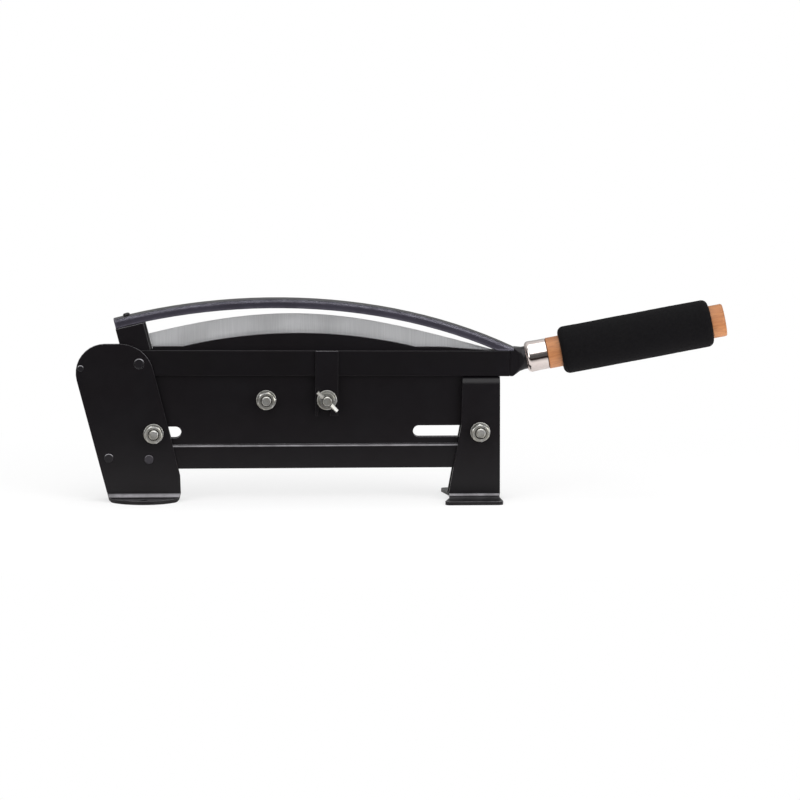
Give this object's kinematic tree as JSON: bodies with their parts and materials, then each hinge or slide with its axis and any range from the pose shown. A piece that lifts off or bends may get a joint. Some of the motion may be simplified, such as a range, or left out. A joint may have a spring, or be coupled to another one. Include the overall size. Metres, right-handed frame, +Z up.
{
  "type": "guillotine cutter",
  "caption": "Hinged guillotine cutter for dried herbs: a bowed knife with a foam-covered handle shears into a slotted sheet bed on bent feet.",
  "frame": {"origin": "middle of the object's bounding box in plan, on the floor under the feet", "axes": "+X along the length toward the handle, +Y toward the rear, +Z up"},
  "size_m": [0.5208, 0.08, 0.162],
  "materials": {
    "black_enamel": "satin black enamel",
    "bow_enamel": "satin black enamel that catches the light",
    "blade_steel": "ground across, bright",
    "zinc": "zinc plated, slightly dull",
    "ferrule_steel": "bright drawn steel",
    "wood": "turned, lightly oiled",
    "foam": "closed-cell foam, matte"
  },
  "bodies": {
    "bed": {"bed_bolt": "zinc", "bed_bolt_nut": "zinc", "bed_bolt_spacer": "zinc", "bed_bolt_washer_front": "zinc", "bed_bolt_washer_rear": "zinc", "bed_plate_front": "black_enamel", "bed_plate_rear": "black_enamel", "left_bolt": "zinc", "left_bolt_bush_front": "zinc", "left_bolt_bush_rear": "zinc", "left_bolt_nut": "zinc", "left_bolt_spacer": "zinc", "left_bolt_washer_front": "zinc", "left_bolt_washer_rear": "zinc", "left_foot_front": "black_enamel", "left_foot_rear": "black_enamel", "lock_bush": "zinc", "lock_spacer": "zinc", "lock_stud": "zinc", "lock_washer_front": "zinc", "lock_washer_rear": "zinc", "pivot_nut": "zinc", "pivot_pin": "black_enamel", "pivot_washer": "zinc", "tie_rivet_lower_left": "black_enamel", "tie_rivet_lower_right": "black_enamel", "tie_rivet_upper": "black_enamel"},
    "knife": {"bar_front": "black_enamel", "bar_rear": "black_enamel", "backing_plate_front": "black_enamel", "backing_plate_rear": "black_enamel", "blade": "blade_steel", "blade_screw_1": "zinc", "blade_screw_2": "zinc", "blade_screw_3": "zinc", "hinge_link": "black_enamel", "bow_arm": "bow_enamel", "bow_screw": "black_enamel", "heel_and_neck": "black_enamel", "lock_strap": "black_enamel", "ferrule": "ferrule_steel", "wooden_handle": "wood", "foam_grip": "foam"},
    "right_foot": {"right_foot_front": "black_enamel", "right_foot_rear": "black_enamel", "right_bolt": "zinc", "right_bolt_bush_front": "zinc", "right_bolt_bush_rear": "zinc", "right_bolt_nut": "zinc", "right_bolt_spacer": "zinc", "right_bolt_washer_front": "zinc", "right_bolt_washer_rear": "zinc"},
    "wing_nut": {"wing_nut": "zinc"}
  },
  "joints": [
    {"name": "knife_hinge", "type": "hinge", "parent": "bed", "child": "knife", "pos_m": [-0.20999, 0, 0.1113], "axis": [0, -1, 0], "range_deg": [0, 65]},
    {"name": "right_foot_slide", "type": "slide", "parent": "bed", "child": "right_foot", "axis": [1, 0, 0], "range_m": [-0.048, 0.002]},
    {"name": "wing_nut_spin", "type": "hinge", "parent": "bed", "child": "wing_nut", "pos_m": [-0.0603, 0, 0.0812], "axis": [0, -1, 0], "continuous": true}
  ]
}
